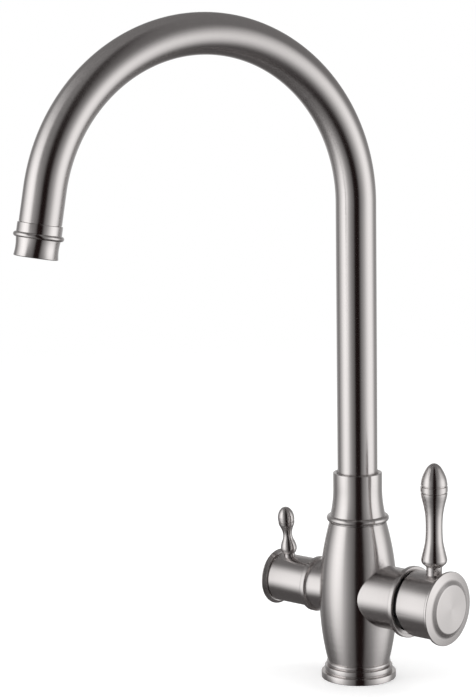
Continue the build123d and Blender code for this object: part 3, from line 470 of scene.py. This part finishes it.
def makeBody():
    b = barrel
    foot = (b["footRadius"], footRing["seat"])
    widest = (b["radius"], b["widest"])
    neck = (b["neckRadius"], b["top"])
    outline = [(0, b["recess"]), (b["spigot"], b["recess"]), (b["spigot"], footRing["seat"]), foot]
    outline += list(reversed(arcFrom(widest, (0, -1), foot, b["curveSteps"])))[1:] + [widest]
    outline += arcFrom(widest, (0, 1), neck, b["curveSteps"])
    outline += [(b["neckSpigot"], b["top"]), (b["neckSpigot"], b["neckTop"]), (0, b["neckTop"])]
    body = lathe("barrelAndArms", outline, upright, uprightNickel, size="large")
    arms = []
    for name, arm, place in (("mixerArm", mixerArm, levelRight), ("filterArm", filterArm, levelLeft)):
        armOutline = softened([
            (0, arm["root"]), (arm["radius"], arm["root"]), (arm["radius"], arm["ringStart"], arm["fillet"]),
            (arm["ring"], arm["ringStart"], arm["soft"]), (arm["ring"], arm["ringEnd"], arm["soft"]),
            (0, arm["ringEnd"]),
        ])
        arms.append(lathe(name, armOutline, place, levelNickel, size="large"))
    combine(body, arms, "UNION")
    m, f = mixerArm, filterArm
    mixerMouth, filterMouth = m["ringEnd"] + overrun, f["ringEnd"] + overrun
    recessFloor = m["ringEnd"] - m["recessDepth"]
    mixerBay = [
        (0, m["back"]), (m["bore"], m["back"]), (m["bore"], m["bayStart"]), (m["bay"], m["bayStart"]),
        (m["bay"], recessFloor), (m["recess"], recessFloor), (m["recess"], mixerMouth), (0, mixerMouth),
    ]
    filterBay = [
        (0, f["back"]), (f["bore"], f["back"]), (f["bore"], f["bayStart"]), (f["bay"], f["bayStart"]),
        (f["bay"], filterMouth), (0, filterMouth),
    ]
    low = b["recess"] - overrun
    studEnd, inletEnd = b["recess"] + inlets["studDepth"], b["recess"] + inlets["depth"]
    hollows = [
        lathe("mixerBay", mixerBay, levelRight, levelNickel),
        lathe("filterBay", filterBay, levelLeft, levelNickel),
        rod("spoutBore", b["spoutBore"], b["spoutFloor"], b["neckTop"] + overrun, upright, size="small"),
        rod("studHole", inlets["studRadius"], low, studEnd, upright, *inlets["studPlace"]),
    ]
    for x, y in inlets["places"]:
        hollows.append(rod("inlet", inlets["radius"], low, inletEnd, upright, x, y))
    combine(body, hollows, "DIFFERENCE")
    dress(body, "tap_body", "body_casting")


# Collar under the spout

collar = {
    "bottom": 100.4, "seamRadius": 17.5, "seam": 0.4, "beadRadius": 19.6, "beadHeight": 4.0, "skirt": 17.3,
    "radius": 15.35, "curveTop": 121.5, "top": 131.7, "bore": 12.9, "bevel": 0.8, "counterbore": 15.45,
    "ledge": 106.4, "soft": 0.4, "beadSteps": 20, "curveSteps": 24,
}


def makeCollar(d):
    beadStart = (d["seamRadius"], d["bottom"] + d["seam"])
    beadEnd = (d["skirt"], beadStart[1] + d["beadHeight"])
    beadMiddle = (d["beadRadius"], (beadStart[1] + beadEnd[1]) / 2)
    curveEnd = (d["radius"], d["curveTop"])
    outline = [(d["counterbore"], d["bottom"]), (d["seamRadius"], d["bottom"]), beadStart]
    outline += arcThrough(beadStart, beadMiddle, beadEnd, d["beadSteps"])
    outline += list(reversed(arcFrom(curveEnd, (0, -1), beadEnd, d["curveSteps"])))[1:] + [curveEnd]
    outline += softened([
        curveEnd, (d["radius"], d["top"], d["soft"]), (d["bore"] + d["bevel"], d["top"]),
        (d["bore"], d["top"] - d["bevel"]), (d["bore"], d["ledge"]),
    ])[1:]
    outline += [(d["counterbore"], d["ledge"])]
    dress(lathe("spoutCollar", outline, upright, uprightNickel), "tap_body", "spout_collar")


# Spout tube, swept along its hoop by a tree

spout = {
    "radius": 12.5, "start": 105.45, "hoopRadius": 105.25, "hoopHeight": 300.8, "bend": 170.0, "runOut": 19.3,
    "sides": 96, "hoopSteps": 140,
}


def outward(distance, height):
    turn = math.radians(spoutTurn)
    return Vector((distance * math.cos(turn), distance * math.sin(turn), height))


def hoopEnd(d):
    angle = math.radians(180 - d["bend"])
    centre = Vector((d["hoopRadius"], d["hoopHeight"]))
    place = centre + d["hoopRadius"] * Vector((math.cos(angle), math.sin(angle)))
    heading = Vector((math.sin(angle), -math.cos(angle)))
    return place, heading


def makeSpoutPath(d):
    points = [outward(0, d["start"]), outward(0, (d["start"] + d["hoopHeight"]) / 2)]
    for i in range(d["hoopSteps"] + 1):
        angle = math.radians(180 - d["bend"] * i / d["hoopSteps"])
        across, up = d["hoopRadius"] * math.cos(angle), d["hoopRadius"] * math.sin(angle)
        points.append(outward(d["hoopRadius"] + across, d["hoopHeight"] + up))
    place, heading = hoopEnd(d)
    end = place + heading * d["runOut"]
    points.append(outward(*end))
    curve = bpy.data.curves.new("spoutTube", "CURVE")
    curve.dimensions = "3D"
    spline = curve.splines.new("POLY")
    spline.points.add(len(points) - 1)
    for target, point in zip(spline.points, points):
        target.co = (*(point * mm), 1.0)
    path = bpy.data.objects.new("spoutTube", curve)
    collection.objects.link(path)
    return path


def tubeTree():
    tree = bpy.data.node_groups.new("tubeAlongPath", "GeometryNodeTree")
    sockets = tree.interface
    sockets.new_socket("Geometry", in_out="INPUT", socket_type="NodeSocketGeometry")
    sockets.new_socket("Tube radius", in_out="INPUT", socket_type="NodeSocketFloat")
    sockets.new_socket("Sides", in_out="INPUT", socket_type="NodeSocketInt")
    sockets.new_socket("Finish", in_out="INPUT", socket_type="NodeSocketMaterial")
    sockets.new_socket("Geometry", in_out="OUTPUT", socket_type="NodeSocketGeometry")
    nodes, links = tree.nodes, tree.links
    start, end = nodes.new("NodeGroupInput"), nodes.new("NodeGroupOutput")
    parameter, tangent = nodes.new("GeometryNodeSplineParameter"), nodes.new("GeometryNodeInputTangent")
    keepAlong = nodes.new("GeometryNodeStoreNamedAttribute")
    keepAlong.data_type = "FLOAT"
    keepAlong.inputs["Name"].default_value = "along"
    keepWay = nodes.new("GeometryNodeStoreNamedAttribute")
    keepWay.data_type = "FLOAT_VECTOR"
    keepWay.inputs["Name"].default_value = "way"
    circle = nodes.new("GeometryNodeCurvePrimitiveCircle")
    sweep = nodes.new("GeometryNodeCurveToMesh")
    sweep.inputs["Fill Caps"].default_value = True
    realize, finish = nodes.new("GeometryNodeRealizeInstances"), nodes.new("GeometryNodeSetMaterial")
    links.new(start.outputs["Geometry"], keepAlong.inputs["Geometry"])
    links.new(parameter.outputs["Length"], keepAlong.inputs["Value"])
    links.new(keepAlong.outputs["Geometry"], keepWay.inputs["Geometry"])
    links.new(tangent.outputs["Tangent"], keepWay.inputs["Value"])
    links.new(start.outputs["Tube radius"], circle.inputs["Radius"])
    links.new(start.outputs["Sides"], circle.inputs["Resolution"])
    links.new(keepWay.outputs["Geometry"], sweep.inputs["Curve"])
    links.new(circle.outputs["Curve"], sweep.inputs["Profile Curve"])
    links.new(sweep.outputs["Mesh"], realize.inputs["Geometry"])
    links.new(realize.outputs["Geometry"], finish.inputs["Geometry"])
    links.new(start.outputs["Finish"], finish.inputs["Material"])
    links.new(finish.outputs["Geometry"], end.inputs["Geometry"])
    return tree


def treeResult(source, tree, values):
    step = source.modifiers.new("tree", "NODES")
    step.node_group = tree
    for item in tree.interface.items_tree:
        if item.in_out == "INPUT" and item.name in values:
            step[item.identifier] = values[item.name]
    evaluated = source.evaluated_get(bpy.context.evaluated_depsgraph_get())
    name = source.name
    data = bpy.data.meshes.new_from_object(evaluated)
    source.modifiers.clear()
    bpy.data.objects.remove(source)
    piece = bpy.data.objects.new(name, data)
    data.name = name
    collection.objects.link(piece)
    smooth(piece)
    return piece


def makeSpoutTube(d):
    values = {"Tube radius": d["radius"] * mm, "Sides": d["sides"], "Finish": tubeNickel("nickelTube")}
    tube = treeResult(makeSpoutPath(d), tubeTree(), values)
    dress(tube, "spout", "spout_tube")


# Outlet nozzle

nozzle = {
    "plug": 11.45, "plugLength": 8.0, "sleeve": 13.2, "sleeveLength": 5.9, "bead": 14.75, "beadLength": 3.1,
    "waist": 12.5, "mouth": 13.0, "skirt": 10.5, "bore": 9.8, "bay": 11.35, "line": 0.35, "lineRadius": 12.1,
    "soft": 0.4, "underBead": 12.95, "beadSteps": 20, "skirtSteps": 16, "rimSteps": 8,
}


def makeNozzle(d):
    place, heading = hoopEnd(spout)
    spot = outward(*place)
    turn = Matrix.Rotation(math.radians(spoutTurn), 4, "Z")
    lean = Matrix.Rotation(math.atan2(heading[0], heading[1]), 4, "Y")
    outlet = Matrix.Translation(spot) @ turn @ lean
    low = spout["runOut"]
    sleeveEnd = low + d["sleeveLength"]
    beadEnd = sleeveEnd + d["beadLength"]
    mouth = beadEnd + d["skirt"]
    rim = d["mouth"] - d["bay"]
    outline = [(d["bore"], low - d["plugLength"]), (d["plug"], low - d["plugLength"]), (d["plug"], low)]
    outline += softened([
        (d["lineRadius"], low), (d["lineRadius"], low + d["line"]), (d["sleeve"], low + d["line"], d["soft"]),
        (d["sleeve"], sleeveEnd),
    ])
    underBead, edge = (d["underBead"], beadEnd), (d["mouth"], mouth)
    beadMiddle = (d["bead"], (sleeveEnd + beadEnd) / 2)
    rimMiddle = (d["mouth"] - rim / 2, mouth + rim / 4)
    outline += arcThrough((d["sleeve"], sleeveEnd), beadMiddle, underBead, d["beadSteps"])
    outline += arcThrough(underBead, (d["waist"], (beadEnd + mouth) / 2), edge, d["skirtSteps"])
    outline += arcThrough(edge, rimMiddle, (d["bay"], mouth), d["rimSteps"])
    outline += [(d["bay"], beadEnd), (d["bore"], beadEnd)]
    axis = tuple(outlet.to_3x3() @ Vector((0, 0, 1)))
    nickel = turnedNickel("nickelOutlet", tuple(spot), axis, brush["fineRoughness"])
    dress(lathe("outletNozzle", outline, outlet, nickel), "spout", "outlet_nozzle")


# Levers: hub, cap and turned handle. The shares give each handle's outline as pairs: how far down from the
# tip, of its length, and how wide, of its radius.

mixerLever = {
    "side": 1, "body": "main_lever",
    "nodes": ("main_lever_hub", "main_end_cap", "main_lever_handle"),
    "names": ("mixerHub", "mixerCap", "mixerHandle"), "place": levelRight, "lean": 0.0,
    "hubStart": 45.05, "hubEnd": 67.4, "hubRadius": 20.45, "wall": 2.05, "endWall": 3.8,
    "bossStart": 48.0, "bossRadius": 8.5, "relief": 14.0,
    "capStart": 68.1, "capRim": 2.0, "capRadius": 23.0, "cone": 0.6, "spigot": 12.0, "spigotLength": 2.7,
    "groove": 0.85, "position": 59.6, "tip": 144.6, "radius": 8.35, "neck": 4.85, "seatDepth": 1.2,
    "noseShares": ((0.007, 0.22), (0.031, 0.47), (0.063, 0.645), (0.099, 0.795), (0.135, 0.905),
                   (0.190, 0.985)),
    "stepShares": ((0.195, 0.91), (0.202, 0.91), (0.206, 1.0), (0.247, 1.0), (0.251, 0.91), (0.258, 0.91)),
    "waistShares": ((0.262, 0.985), (0.280, 0.97), (0.308, 0.920), (0.340, 0.850), (0.393, 0.745),
                    (0.467, 0.650), (0.578, 0.617), (0.689, 0.661), (0.761, 0.779), (0.835, 0.934),
                    (0.860, 0.96), (0.884, 0.894), (0.906, 0.704)),
    "neckTopShare": 0.918,
}
filterLever = {
    "side": -1, "body": "filter_lever",
    "nodes": ("filter_lever_hub", "filter_end_cap", "filter_lever_handle"),
    "names": ("filterHub", "filterCap", "filterHandle"), "place": levelLeft, "lean": 7.0,
    "hubStart": 34.3, "hubEnd": 62.3, "hubRadius": 15.4, "wall": 2.4, "endWall": 3.5,
    "bossStart": 40.5, "bossRadius": 6.8, "relief": 0.0,
    "capStart": 63.0, "capRim": 2.5, "capRadius": 17.84, "cone": 1.8, "spigot": 9.0, "spigotLength": 2.7,
    "groove": 0.85, "position": 55.0, "tip": 103.2, "radius": 5.3, "neck": 3.6, "seatDepth": 1.2,
    "noseShares": ((0.012, 0.40), (0.075, 0.77), (0.156, 0.97), (0.222, 1.0), (0.254, 0.995)),
    "stepShares": ((0.262, 0.90), (0.274, 0.90)),
    "waistShares": ((0.282, 0.985), (0.335, 0.93), (0.380, 0.80), (0.458, 0.62), (0.536, 0.55),
                    (0.614, 0.62), (0.700, 0.84), (0.800, 0.98), (0.877, 0.86)),
    "neckTopShare": 0.910,
}
hubShape = {"soft": 0.4, "edgeSoft": 0.8, "seatPlay": 0.05}
capShape = {  # the shares are of the cap's radius
    "discShare": 0.655, "coveCornerShare": 0.77, "coveRoundShare": 0.17, "dishShare": 0.033,
    "raiseShare": 0.122, "soft": 0.4, "discSoft": 1.5, "cornerSteps": 8,
}


def leaned(d):
    # The lever's lean about the valve axis
    lift = Matrix.Translation((0, 0, valveHeight))
    return lift @ Matrix.Rotation(math.radians(d["lean"]), 4, "X") @ lift.inverted()


def makeHub(d):
    soft, edgeSoft = hubShape["soft"], hubShape["edgeSoft"]
    bore, hubFloor = d["hubRadius"] - d["wall"], d["hubEnd"] - d["endWall"]
    outline = softened([
        (0, d["bossStart"]), (d["bossRadius"], d["bossStart"], soft), (d["bossRadius"], hubFloor),
        (bore, hubFloor), (bore, d["hubStart"], soft), (d["hubRadius"], d["hubStart"], edgeSoft),
        (d["hubRadius"], d["hubEnd"], edgeSoft), (0, d["hubEnd"]),
    ])
    hub = lathe(d["names"][0], outline, d["place"], levelNickel, size="large")
    x = d["side"] * d["position"]
    seat = valveHeight + d["hubRadius"] - d["seatDepth"]
    seatHole = rod("seatHole", d["neck"] + hubShape["seatPlay"], seat, seat + d["hubRadius"], leaned(d), x)
    tools = [seatHole]
    if d["relief"]:
        tools.append(reliefWedge(d))
    combine(hub, tools, "DIFFERENCE")
    dress(hub, d["body"], d["nodes"][0])


def reliefWedge(d):
    # The skirt is cut back below the valve axis, so that it clears the ring as the lever tips out
    size = 2 * d["hubRadius"]
    mesh = bmesh.new()
    bmesh.ops.create_cube(mesh, size=1.0)
    place = Matrix.Translation((d["hubStart"], 0, valveHeight))
    place = place @ Matrix.Rotation(-math.radians(d["relief"]), 4, "Y")
    block = Matrix.Translation((-size / 2, 0, -size / 2)) @ Matrix.Diagonal((size, 2 * size, size, 1))
    bmesh.ops.transform(mesh, matrix=Matrix.Scale(mm, 4) @ place @ block, verts=mesh.verts)
    return meshPiece("reliefWedge", mesh, levelNickel)


def makeCap(d):
    s, r = capShape, d["capRadius"]
    face = d["capStart"] + d["capRim"]
    shoulder = d["hubRadius"] - d["groove"]
    disc = face + s["raiseShare"] * r
    spigotEnd = d["hubEnd"] - d["spigotLength"]
    outline = softened([
        (0, spigotEnd), (d["spigot"], spigotEnd), (d["spigot"], d["hubEnd"]),
        (shoulder, d["hubEnd"]), (shoulder, d["capStart"]), (r - d["cone"], d["capStart"], s["soft"]),
        (r, d["capStart"] + d["cone"], s["soft"]), (r, face, s["soft"]),
        (s["coveCornerShare"] * r, face + s["dishShare"] * r, s["coveRoundShare"] * r),
        (s["discShare"] * r, disc, s["discSoft"]), (0, disc),
    ], s["cornerSteps"])
    dress(lathe(d["names"][1], outline, d["place"], levelNickel), d["body"], d["nodes"][1])


def makeHandle(d):
    seat = valveHeight + d["hubRadius"] - d["seatDepth"]
    length = d["tip"] - seat

    def at(pairs):
        return [(d["radius"] * width, d["tip"] - length * down) for down, width in pairs]

    nose = flowing([(0, d["tip"])] + at(d["noseShares"]))
    waist = flowing(at(d["waistShares"]) + [(d["neck"], d["tip"] - length * d["neckTopShare"])])
    outline = nose + at(d["stepShares"]) + waist + [(d["neck"], seat), (0, seat)]
    place = leaned(d) @ Matrix.Translation((d["side"] * d["position"], 0, 0))
    axis = place.to_3x3() @ Vector((0, 0, 1))
    nickel = turnedNickel(d["names"][2] + "Nickel", place.to_translation(), axis)
    dress(lathe(d["names"][2], outline, place, nickel, size="small"), d["body"], d["nodes"][2])


makeFootRing(footRing)
makeBody()
makeCollar(collar)
print("body made")
makeSpoutTube(spout)
makeNozzle(nozzle)
print("spout made")
for lever in (mixerLever, filterLever):
    makeHub(lever)
    makeCap(lever)
    makeHandle(lever)
print("levers made")


# Camera, floor and studio

view = {
    "place": (884.0, -1107.7, 420.1), "turn": 41.58, "down": 8.44, "roll": -0.79,
    "lens": 118.3, "sensor": 36.0,
    "farthest": 20.0,  # in metres; the place is in mm and the angles in degrees
}


def makeCamera(d):
    turn, down, roll = (math.radians(d[key]) for key in ("turn", "down", "roll"))
    ahead = Vector((-math.sin(turn) * math.cos(down), math.cos(turn) * math.cos(down), -math.sin(down)))
    right = Vector((math.cos(turn), math.sin(turn), 0))
    up = right.cross(ahead)
    rolledRight = right * math.cos(roll) + up * math.sin(roll)
    rolledUp = up * math.cos(roll) - right * math.sin(roll)
    data = bpy.data.cameras.new("camera")
    data.lens, data.sensor_width = d["lens"], d["sensor"]
    data.clip_end = d["farthest"]
    camera = bpy.data.objects.new("camera", data)
    axes = Matrix((rolledRight, rolledUp, -ahead)).transposed().to_4x4()
    camera.matrix_world = Matrix.Translation(Vector(d["place"]) * mm) @ axes
    collection.objects.link(camera)
    bpy.context.scene.camera = camera


floor = {
    "radius": 1.6, "sides": 96, "fadeStart": 0.5, "fadeEnd": 1.5,
    "colour": (0.94, 0.94, 0.94, 1.0),
    "white": 0.25,  # added for the camera alone
}


def makeFloor(d):
    material, output = newMaterial("paleFloor")
    place = addNode(material, "ShaderNodeTexCoord").outputs["Object"]
    reach = vectorMath(material, "LENGTH", place)
    fade = addNode(material, "ShaderNodeMapRange", interpolation_type="SMOOTHSTEP")
    fade.inputs["From Min"].default_value = d["fadeStart"]
    fade.inputs["From Max"].default_value = d["fadeEnd"]
    link(material, reach, fade.inputs["Value"])
    matt = addNode(material, "ShaderNodeBsdfDiffuse", in_Color=d["colour"])
    seen = addNode(material, "ShaderNodeLightPath").outputs["Is Camera Ray"]
    white = addNode(material, "ShaderNodeEmission")
    link(material, number(material, "MULTIPLY", seen, d["white"]), white.inputs["Strength"])
    both = addNode(material, "ShaderNodeAddShader")
    link(material, matt.outputs["BSDF"], both.inputs[0])
    link(material, white.outputs["Emission"], both.inputs[1])
    clear = addNode(material, "ShaderNodeBsdfTransparent")
    mix = addNode(material, "ShaderNodeMixShader")
    link(material, fade.outputs["Result"], mix.inputs["Fac"])
    link(material, both.outputs["Shader"], mix.inputs[1])
    link(material, clear.outputs["BSDF"], mix.inputs[2])
    link(material, mix.outputs["Shader"], output.inputs["Surface"])
    mesh = bmesh.new()
    bmesh.ops.create_circle(mesh, cap_ends=True, segments=d["sides"], radius=d["radius"])
    ground = meshPiece("floor", mesh, material)
    ground.visible_glossy = False


# A dome of scrims and softboxes, seen in reflections alone. Its brightness is a pattern over the azimuth
# (degrees to the right of the camera, seen from the tap), which fades to dark cards overhead and below.

scrim = {
    "radius": 2.1,
    "across": (
        (-180, 0.60), (-165, 0.55), (-150, 0.42), (-135, 0.30), (-123, 0.26), (-104, 0.76), (-87, 1.30),
        (-72, 1.50), (-58, 1.32), (-46, 0.82), (-34, 0.45), (-24, 0.27), (-15, 0.15), (-10.5, 0.012),
        (0, 0.004), (12.5, 0.006), (16.5, 0.11), (23, 0.25), (34, 0.45), (46, 0.76), (58, 1.14),
        (72, 1.40), (86, 1.42), (96, 1.38), (104, 1.10), (114, 0.64), (123, 0.46), (136, 0.46),
        (150, 0.48), (165, 0.50), (180, 0.60),
    ),
    # elevation at which the pattern has faded half, and how far on either side it fades
    "top": (
        (-180, 26), (-150, 26), (-125, 36), (-110, 44), (-60, 40), (-45, 14), (-20, 12), (20, 20),
        (50, 24), (70, 30), (85, 26), (100, 15), (140, 8), (165, 26), (180, 26),
    ),
    "topFade": (
        (-180, 14), (-150, 14), (-125, 16), (-110, 14), (-60, 16), (-45, 24), (-20, 26), (140, 27),
        (165, 14), (180, 14),
    ),
    "bottom": (
        (-180, -18), (-140, -16), (-100, -15), (-80, -25), (-55, -27), (-45, -27), (45, -27),
        (65, -28), (85, -28), (100, -25), (140, -20), (165, -18), (180, -18),
    ),
    "bottomFade": ((-180, 14), (-100, 13), (-80, 22), (-55, 28), (140, 28), (165, 14), (180, 14)),
    "overhead": 0.20,
    "below": 0.10,
    "cards": 0.30,  # azimuths dimmer than this stay as dim overhead and below
    "cloth": (0.010, 0.0045, 0.0042, 1.0),  # the dimmest that the scrims get, a little warm
    "step": 2,  # degrees between the dome's points
}


def lookUp(table, value):
    for (low, first), (high, second) in zip(table, table[1:]):
        if value <= high:
            return first + (second - first) * (value - low) / (high - low)
    return table[-1][1]


def scrimShare(d, azimuth, elevation):
    across = lookUp(d["across"], azimuth)
    top, topFade = lookUp(d["top"], azimuth), lookUp(d["topFade"], azimuth)
    rise = min(max((top + topFade - elevation) / (2 * topFade), 0), 1)
    bottom, bottomFade = lookUp(d["bottom"], azimuth), lookUp(d["bottomFade"], azimuth)
    fall = min(max((elevation - bottom + bottomFade) / (2 * bottomFade), 0), 1)
    weight = rise * rise * (3 - 2 * rise) * fall * fall * (3 - 2 * fall)
    plain = (d["overhead"] if elevation > 0 else d["below"]) * min(across / d["cards"], 1)
    return weight * across + (1 - weight) * plain


def scrimMaterial(d):
    # Passes a share of the world's white, and glows where a softbox is brighter than that
    material, output = newMaterial("scrim")
    passed = addNode(material, "ShaderNodeAttribute", attribute_name="passed").outputs["Fac"]
    tint = addNode(material, "ShaderNodeMix", data_type="RGBA")
    tint.inputs["A"].default_value, tint.inputs["B"].default_value = d["cloth"], (1, 1, 1, 1)
    link(material, passed, tint.inputs["Factor"])
    extra = addNode(material, "ShaderNodeAttribute", attribute_name="extra").outputs["Fac"]
    clear = addNode(material, "ShaderNodeBsdfTransparent")
    glow = addNode(material, "ShaderNodeEmission")
    both = addNode(material, "ShaderNodeAddShader")
    link(material, tint.outputs["Result"], clear.inputs["Color"])
    link(material, extra, glow.inputs["Strength"])
    link(material, clear.outputs["BSDF"], both.inputs[0])
    link(material, glow.outputs["Emission"], both.inputs[1])
    link(material, both.outputs["Shader"], output.inputs["Surface"])
    return material


def studioWay(azimuth, elevation):
    turn = math.radians(view["turn"])
    toCamera = Vector((math.sin(turn), -math.cos(turn), 0))
    toRight = Vector((math.cos(turn), math.sin(turn), 0))
    a, e = math.radians(azimuth), math.radians(elevation)
    return (toCamera * math.cos(a) + toRight * math.sin(a)) * math.cos(e) + Vector((0, 0, math.sin(e)))


def makeScrim(d):
    places, shares, faces = [], [], []
    azimuths, elevations = range(-180, 180, d["step"]), range(-90, 91, d["step"])
    wide = len(azimuths)
    for elevation in elevations:
        for azimuth in azimuths:
            places.append(studioWay(azimuth, elevation) * d["radius"])
            shares.append(scrimShare(d, azimuth, elevation))
    for j in range(len(elevations) - 1):
        for i in range(wide):
            k = (i + 1) % wide
            faces.append((j * wide + i, j * wide + k, (j + 1) * wide + k, (j + 1) * wide + i))
    data = bpy.data.meshes.new("scrim")
    data.from_pydata(places, [], faces)
    passed = [min(share, 1.0) for share in shares]
    extra = [max(share - 1.0, 0.0) for share in shares]
    for name, values in (("passed", passed), ("extra", extra)):
        data.attributes.new(name, "FLOAT", "POINT").data.foreach_set("value", values)
    data.materials.append(scrimMaterial(d))
    dome = bpy.data.objects.new("scrim", data)
    collection.objects.link(dome)
    dome.visible_camera = dome.visible_diffuse = dome.visible_shadow = dome.visible_transmission = False


lamps = [
    {"name": "lampLeft", "azimuth": -72, "elevation": 35, "distance": 1.7, "size": (0.9, 0.9), "power": 7.0},
    {"name": "lampRight", "azimuth": 75, "elevation": 35, "distance": 1.7, "size": (0.9, 0.9), "power": 7.0},
]
lampAim = Vector((0, 0, 0.2))


def makeLamps():
    for d in lamps:
        way = studioWay(d["azimuth"], d["elevation"])
        data = bpy.data.lights.new(d["name"], "AREA")
        data.shape = "RECTANGLE"
        data.size, data.size_y = d["size"]
        data.energy = d["power"]
        lamp = bpy.data.objects.new(d["name"], data)
        lamp.location = lampAim + way * d["distance"]
        lamp.rotation_euler = (-way).to_track_quat("-Z", "Y").to_euler()
        lamp.visible_glossy = False
        collection.objects.link(lamp)


daylight = {"diffuse": 0.80}


def makeWorld(d):
    world = bpy.data.worlds.new("studio")
    bpy.context.scene.world = world
    world.use_nodes = True
    nodes, links = world.node_tree.nodes, world.node_tree.links
    nodes.clear()
    rays = nodes.new("ShaderNodeLightPath")
    seen = rays.outputs["Is Camera Ray"]
    for other in ("Is Glossy Ray", "Is Transmission Ray"):
        either = nodes.new("ShaderNodeMath")
        either.operation = "MAXIMUM"
        links.new(seen, either.inputs[0])
        links.new(rays.outputs[other], either.inputs[1])
        seen = either.outputs["Value"]
    strength = nodes.new("ShaderNodeMapRange")
    strength.inputs["To Min"].default_value = d["diffuse"]
    strength.inputs["To Max"].default_value = 1.0
    links.new(seen, strength.inputs["Value"])
    background = nodes.new("ShaderNodeBackground")
    background.inputs["Color"].default_value = (1, 1, 1, 1)
    links.new(strength.outputs["Result"], background.inputs["Strength"])
    output = nodes.new("ShaderNodeOutputWorld")
    links.new(background.outputs["Background"], output.inputs["Surface"])


makeCamera(view)
makeFloor(floor)
makeScrim(scrim)
makeLamps()
makeWorld(daylight)
bpy.context.scene.view_settings.view_transform = "Standard"
print("studio made")
